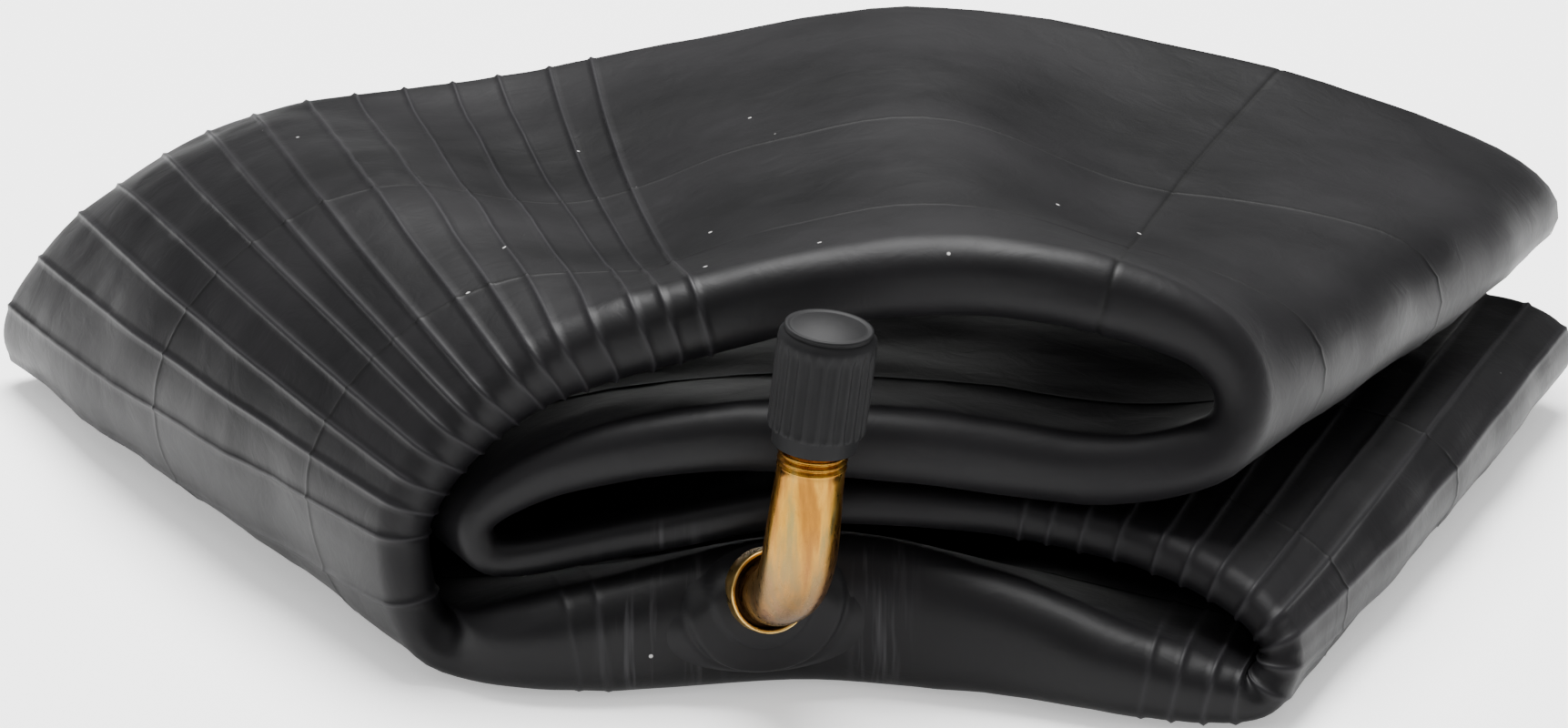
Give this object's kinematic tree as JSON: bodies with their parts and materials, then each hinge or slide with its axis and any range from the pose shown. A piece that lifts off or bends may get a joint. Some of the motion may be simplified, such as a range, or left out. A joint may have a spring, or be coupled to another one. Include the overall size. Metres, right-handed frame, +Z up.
{
  "type": "inner tube",
  "caption": "Folded rubber inner tube for a small pneumatic wheel, with a bent metal tyre valve on a moulded patch and a screw-on plastic dust cap.",
  "frame": {"origin": "on the flat underside, which lies on the ground, below the middle of the folded tube", "axes": "+Z up through the layers of the fold, +X along the folded width, -Y towards the rim edge that carries the valve"},
  "size_m": [0.202, 0.1331, 0.0508],
  "materials": {
    "butyl_rubber": "moulded butyl, dull with a faint sheen and traces of talc",
    "patch_rubber": "moulded, matte",
    "valve_brass": "bright, lightly tarnished",
    "core_brass": "turned",
    "spring_steel": "drawn wire",
    "seal_rubber": "matte",
    "cap_plastic": "moulded, satin"
  },
  "bodies": {
    "tube": {"tube_body": "butyl_rubber", "valve_pad": "patch_rubber", "valve_stem": "valve_brass", "core_plug": "core_brass", "core_barrel": "core_brass", "core_barrel_seal": "seal_rubber", "core_spring": "spring_steel"},
    "cap_seal": {"cap_seal": "seal_rubber"},
    "cap": {"valve_cap": "cap_plastic"},
    "core_pin": {"core_pin": "core_brass", "core_cup": "core_brass", "core_cup_seal": "seal_rubber"}
  },
  "joints": [
    {"name": "cap_lift", "type": "slide", "parent": "tube", "child": "cap_seal", "axis": [0.1151, -0.0496, 0.9921], "range_m": [0, 0.0122]},
    {"name": "cap_turn", "type": "hinge", "parent": "cap_seal", "child": "cap", "pos_m": [0.0046, -0.06604, 0.04493], "axis": [0.1151, -0.0496, 0.9921], "range_deg": [0, 5532]},
    {"name": "core_press", "type": "slide", "parent": "tube", "child": "core_pin", "axis": [-0.1151, 0.0496, -0.9921], "range_m": [0, 0.0012], "stiffness_N_per_m": 1500, "springref_m": -0.0005, "deforming": ["core_spring"]}
  ],
  "couplings": [
    {"joint": "cap_turn", "follows": "cap_lift", "rad_per_m": 7913.3}
  ]
}
